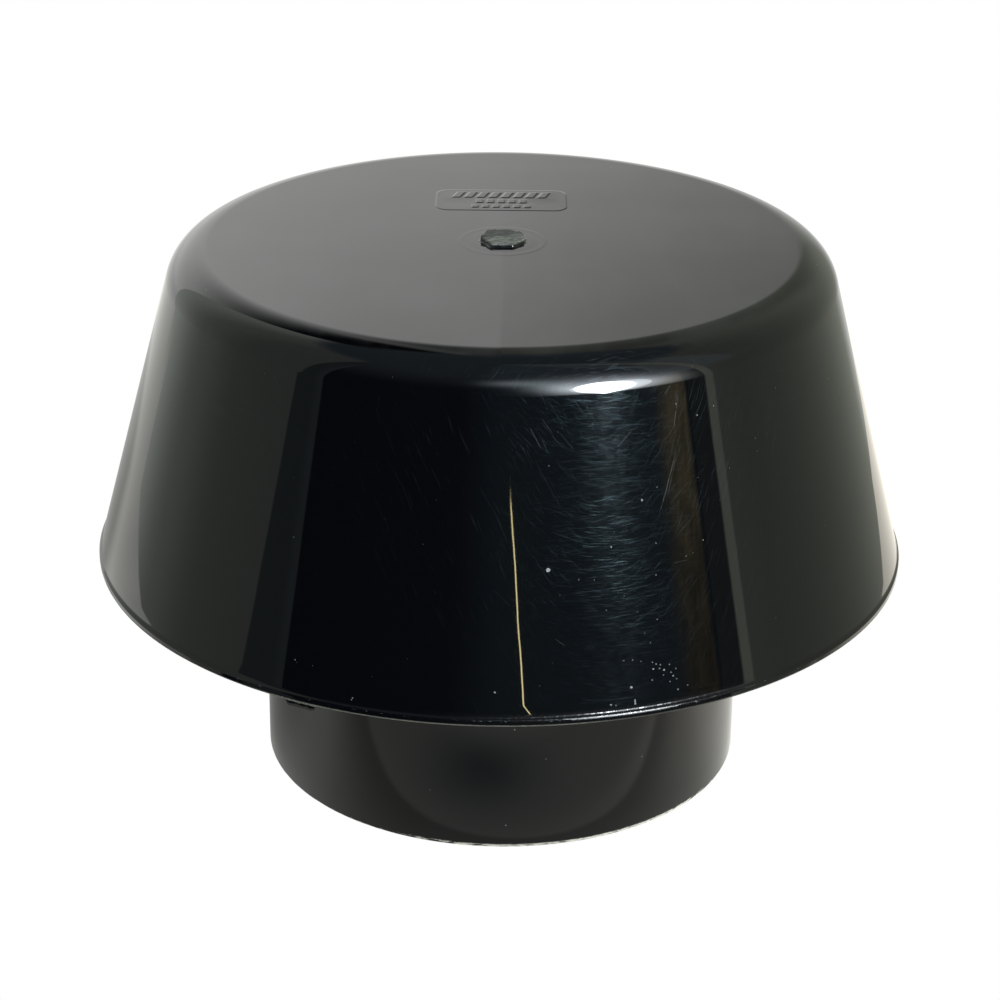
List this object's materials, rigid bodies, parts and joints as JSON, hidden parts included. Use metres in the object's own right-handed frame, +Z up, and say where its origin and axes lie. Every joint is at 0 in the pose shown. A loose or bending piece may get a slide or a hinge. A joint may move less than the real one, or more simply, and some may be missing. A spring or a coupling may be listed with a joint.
{
  "type": "roof vent cowl",
  "caption": "Round black vent cowl: a tapered hood with a flat top over a plain pipe collar, keeps rain out of a roof vent pipe while air leaves under the skirt.",
  "frame": {"origin": "centre of the collar's bottom mouth, where the vent pipe enters", "axes": "+Z up the pipe axis towards the hood's flat top; -Y is the front, with the moulded panel behind the middle of the top on +Y"},
  "size_m": [0.1958, 0.1958, 0.1321],
  "materials": {
    "hood_gloss_black": "polished injection-moulded black plastic with fine handling scratches",
    "collar_satin_black": "semi-gloss black moulded plastic",
    "carrier_black": "fine-grained black moulded plastic",
    "seal_rubber": "dull black elastomer",
    "screen_steel": "stainless wire cloth and rolled rim",
    "screw_steel": "plain stainless steel"
  },
  "bodies": {
    "base": {"pipe_collar": "collar_satin_black", "pipe_seal": "seal_rubber", "screen_rim": "screen_steel", "screen_mesh": "screen_steel", "hood_carrier": "carrier_black"},
    "hood": {"hood_shell": "hood_gloss_black"},
    "fixings": {"hood_screws": "screw_steel", "screw_washers": "screw_steel"}
  },
  "joints": [
    {"name": "hood_lift", "type": "slide", "parent": "base", "child": "hood", "axis": [0, 0, 1], "range_m": [0, 0.08]},
    {"name": "screws_out", "type": "slide", "parent": "base", "child": "fixings", "axis": [0, 0, -1], "range_m": [0, 0.045]}
  ]
}
